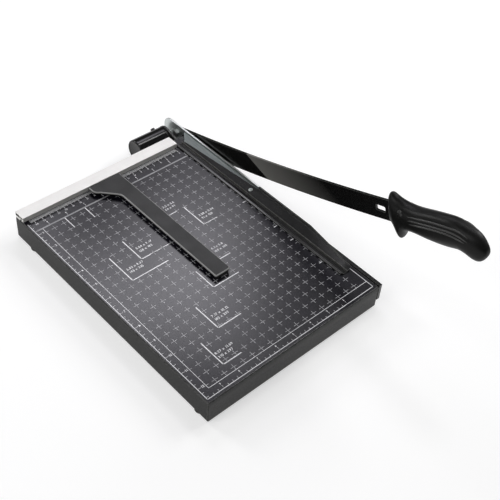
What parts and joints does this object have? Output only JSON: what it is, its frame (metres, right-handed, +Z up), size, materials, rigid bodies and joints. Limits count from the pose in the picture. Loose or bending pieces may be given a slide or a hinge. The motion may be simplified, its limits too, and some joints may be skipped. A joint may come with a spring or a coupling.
{
  "type": "guillotine paper cutter",
  "caption": "Desk paper cutter with a hinged blade arm, fixed knife, hinged press bar, back fence and a gauge that slides along the fence.",
  "frame": {"origin": "centre of the bounding box on the desk surface, under the four rubber feet", "axes": "+Z up, +X to the right across the bed towards the cutting edge, +Y from the handle end to the fence and pivot"},
  "size_m": [0.2684, 0.4904, 0.1789],
  "materials": {
    "bed_paint": "semi gloss",
    "steel_paint": "semi gloss",
    "tool_steel": "gloss",
    "anodised": "satin",
    "nickel": "polished",
    "zinc": "satin",
    "black_plastic": "semi gloss",
    "gauge_plastic": "matt",
    "rubber": "matt",
    "bronze": "satin"
  },
  "bodies": {
    "base": {"base_tray": "bed_paint", "lower_knife": "tool_steel", "knife_screw_1": "zinc", "knife_screw_2": "zinc", "knife_screw_3": "zinc", "knife_screw_4": "zinc", "fence_rule": "anodised", "fence_screw_1": "zinc", "fence_screw_2": "zinc", "fence_screw_3": "zinc", "foot_front_left": "rubber", "foot_front_right": "rubber", "foot_back_left": "rubber", "foot_back_right": "rubber", "pivot_bracket": "steel_paint", "bracket_screw_1": "zinc", "bracket_screw_2": "zinc", "bracket_nut_1": "zinc", "bracket_nut_2": "zinc", "shaft_bush": "bronze", "spacer_sleeve": "zinc", "spring_housing": "black_plastic", "housing_screw": "steel_paint", "balance_spring": "zinc"},
    "blade": {"blade_arm": "tool_steel", "handle_grip": "black_plastic", "handle_rivet": "steel_paint", "pivot_shaft": "zinc", "shaft_collar": "zinc", "inner_washer": "zinc", "outer_washer": "zinc", "lock_nut": "zinc"},
    "press": {"press_bar": "steel_paint", "press_arm": "nickel", "press_rivet": "nickel", "arm_stud": "zinc"},
    "gauge": {"gauge_plate": "gauge_plastic", "gauge_slider": "black_plastic", "gauge_screw_1": "zinc", "gauge_screw_2": "zinc"}
  },
  "joints": [
    {"name": "blade_hinge", "type": "hinge", "parent": "base", "child": "blade", "pos_m": [0.12162, 0.22856, 0.0185], "axis": [-1, 0, 0], "range_deg": [-14.5, 37]},
    {"name": "press_hinge", "type": "hinge", "parent": "base", "child": "press", "pos_m": [0.11703, 0.22856, 0.0185], "axis": [-1, 0, 0], "range_deg": [0, 20]},
    {"name": "gauge_slide", "type": "slide", "parent": "base", "child": "gauge", "axis": [1, 0, 0], "range_m": [-0.089, 0.088]}
  ]
}
